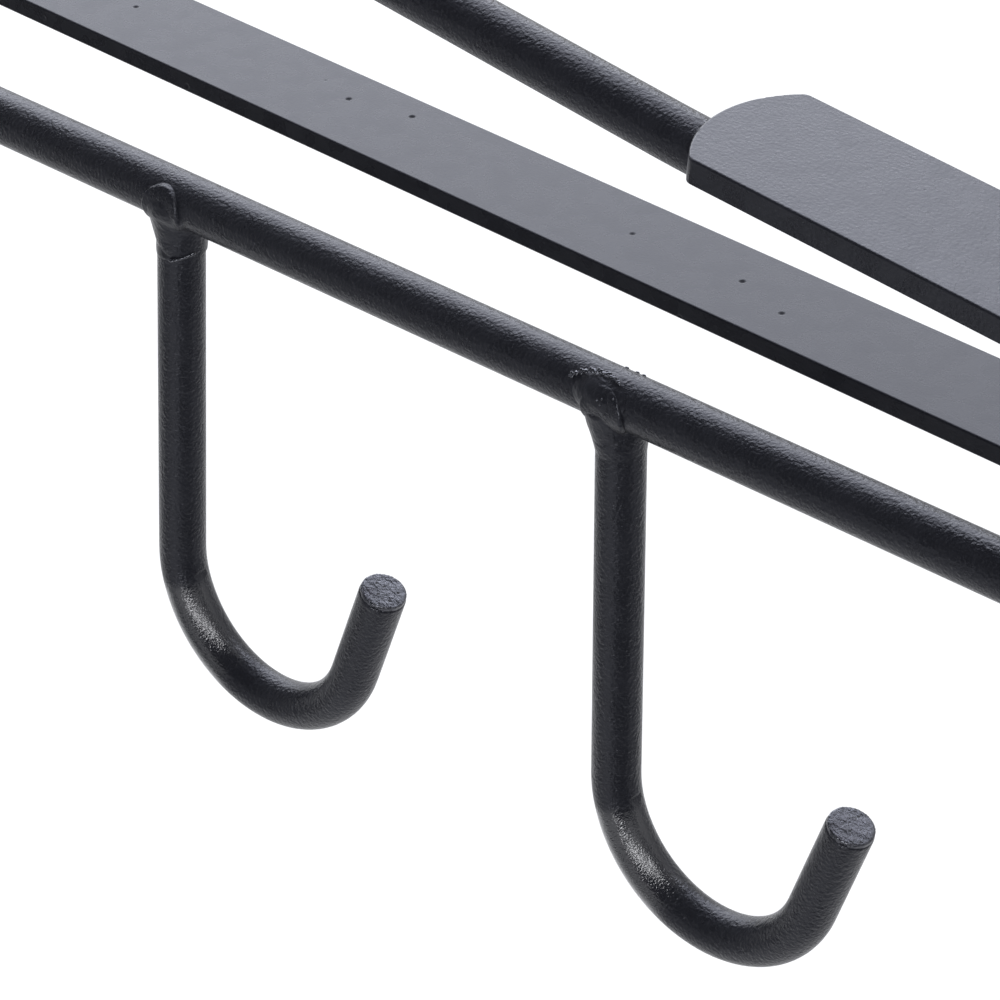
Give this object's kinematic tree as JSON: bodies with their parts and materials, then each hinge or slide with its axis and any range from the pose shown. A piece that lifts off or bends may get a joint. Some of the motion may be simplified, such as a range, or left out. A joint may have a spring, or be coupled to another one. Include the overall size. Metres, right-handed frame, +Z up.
{
  "type": "under-cabinet hanging rack",
  "caption": "Welded wire rack that clips over a shelf board, with a row of round-wire J hooks below it, a flat bearing bar beside the rail and a plate on the clip's arm.",
  "frame": {"origin": "on the top line of the hook rail above the middle hook, where the underside of the board lies", "axes": "+X along the rail towards the open end of the clip, +Y from the rail towards the flat bar, +Z up"},
  "size_m": [0.2805, 0.0395, 0.105],
  "materials": {
    "rod_coat": "black powder coat with a leathery grain",
    "hook_coat": "black powder coat with a fine grain, smoother and glossier in the bend",
    "plate_coat": "black powder coat with a visible grain",
    "bar_coat": "black powder coat, nearly smooth, with a few specks"
  },
  "bodies": {
    "root": {"clip_rod": "rod_coat", "arm_plate": "plate_coat", "flat_bar": "bar_coat", "cross_rod_closed": "rod_coat", "cross_rod_open": "rod_coat", "hook_1": "hook_coat", "hook_2": "hook_coat", "hook_3": "hook_coat", "hook_4": "hook_coat", "hook_5": "hook_coat"}
  },
  "joints": []
}
